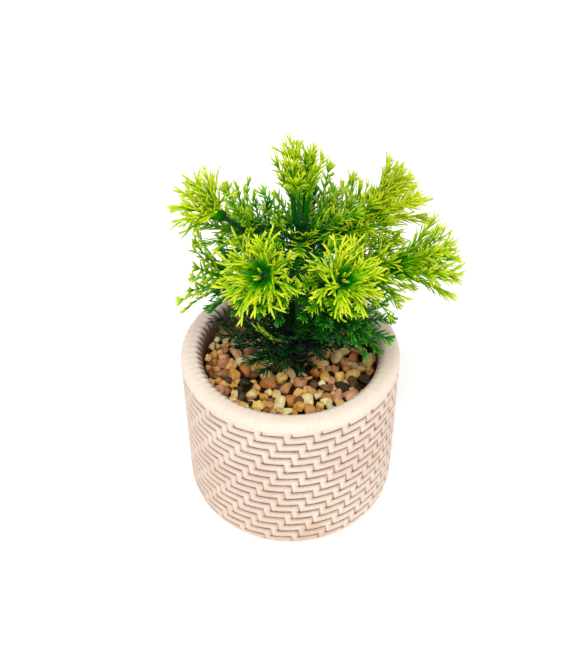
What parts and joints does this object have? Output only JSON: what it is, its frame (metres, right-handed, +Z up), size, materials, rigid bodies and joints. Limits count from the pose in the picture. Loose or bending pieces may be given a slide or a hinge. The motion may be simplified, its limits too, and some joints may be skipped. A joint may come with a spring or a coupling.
{
  "type": "artificial tabletop tree",
  "caption": "Artificial tabletop tree: needle-leaved whorls on bendable branches round a stem that lifts out of a gravel-topped cast pot with a woven relief.",
  "frame": {"origin": "middle of the flat foot of the pot, on the surface it stands on", "axes": "+Z up along the pot's axis; -Y faces the viewer of the picture; +X is the picture's right, where the stem stands off the pot's axis"},
  "size_m": [0.1107, 0.0966, 0.1774],
  "materials": {
    "cast_pot": "matt, slightly chalky",
    "foam": "matt",
    "bonded_bed": "matt",
    "stones_cream": "matt",
    "stones_tan": "matt",
    "stones_dark": "matt",
    "stem_green": "satin",
    "low_foliage": "soft gloss",
    "foliage": "soft gloss, dark green at the root of a strap and yellow-green at its tips"
  },
  "bodies": {
    "pot": {"pot": "cast_pot", "foam_plug": "foam", "gravel_bed": "bonded_bed", "stones_cream": "stones_cream", "stones_tan": "stones_tan", "stones_dark": "stones_dark"},
    "plant": {"main_stem": "stem_green", "foot_whorl": "low_foliage", "low_whorl_1": "low_foliage", "low_whorl_2": "low_foliage", "mid_whorl": "foliage", "collar_whorl": "foliage", "crown_whorl": "foliage"},
    "branch_1": {"branch_1_stem": "stem_green", "branch_1_inner_whorl": "foliage", "branch_1_end_whorl": "foliage"},
    "branch_2": {"branch_2_stem": "stem_green", "branch_2_inner_whorl": "foliage", "branch_2_end_whorl": "foliage"},
    "branch_3": {"branch_3_stem": "stem_green", "branch_3_inner_whorl": "foliage", "branch_3_end_whorl": "foliage"},
    "branch_4": {"branch_4_stem": "stem_green", "branch_4_inner_whorl": "foliage", "branch_4_end_whorl": "foliage"},
    "branch_5": {"branch_5_stem": "stem_green", "branch_5_inner_whorl": "foliage", "branch_5_end_whorl": "foliage"},
    "branch_6": {"branch_6_stem": "stem_green", "branch_6_inner_whorl": "foliage", "branch_6_end_whorl": "foliage"},
    "branch_7": {"branch_7_stem": "stem_green", "branch_7_inner_whorl": "foliage", "branch_7_end_whorl": "foliage"},
    "branch_8": {"branch_8_stem": "stem_green", "branch_8_inner_whorl": "foliage", "branch_8_end_whorl": "foliage"},
    "branch_9": {"branch_9_stem": "stem_green", "branch_9_inner_whorl": "foliage", "branch_9_end_whorl": "foliage"}
  },
  "joints": [
    {"name": "plant_lift", "type": "slide", "parent": "pot", "child": "plant", "axis": [0, 0, 1], "range_m": [0, 0.045]},
    {"name": "branch_1_bend", "type": "hinge", "parent": "plant", "child": "branch_1", "pos_m": [0.00033, -0.00119, 0.12851], "axis": [0.309, -0.9511, 0], "range_deg": [0, 10]},
    {"name": "branch_2_bend", "type": "hinge", "parent": "plant", "child": "branch_2", "pos_m": [0.00225, -0.00344, 0.11753], "axis": [0.891, -0.454, 0], "range_deg": [0, 10]},
    {"name": "branch_3_bend", "type": "hinge", "parent": "plant", "child": "branch_3", "pos_m": [0.00587, -0.00338, 0.10999], "axis": [0.8746, 0.4848, 0], "range_deg": [0, 10]},
    {"name": "branch_4_bend", "type": "hinge", "parent": "plant", "child": "branch_4", "pos_m": [0.00758, 0.00145, 0.12702], "axis": [-0.3746, 0.9272, 0], "range_deg": [0, 10]},
    {"name": "branch_5_bend", "type": "hinge", "parent": "plant", "child": "branch_5", "pos_m": [0.00779, -0.00074, 0.11552], "axis": [0.1908, 0.9816, 0], "range_deg": [0, 10]},
    {"name": "branch_6_bend", "type": "hinge", "parent": "plant", "child": "branch_6", "pos_m": [0.00014, 0, 0.11103], "axis": [0, -1, 0], "range_deg": [0, 10]},
    {"name": "branch_7_bend", "type": "hinge", "parent": "plant", "child": "branch_7", "pos_m": [0.00682, -0.00263, 0.10551], "axis": [0.682, 0.7314, 0], "range_deg": [0, 10]},
    {"name": "branch_8_bend", "type": "hinge", "parent": "plant", "child": "branch_8", "pos_m": [0.00137, 0.00282, 0.11701], "axis": [-0.7314, -0.682, 0], "range_deg": [0, 10]},
    {"name": "branch_9_bend", "type": "hinge", "parent": "plant", "child": "branch_9", "pos_m": [0.005, 0.00373, 0.12097], "axis": [-0.9659, 0.2588, 0], "range_deg": [0, 10]}
  ]
}
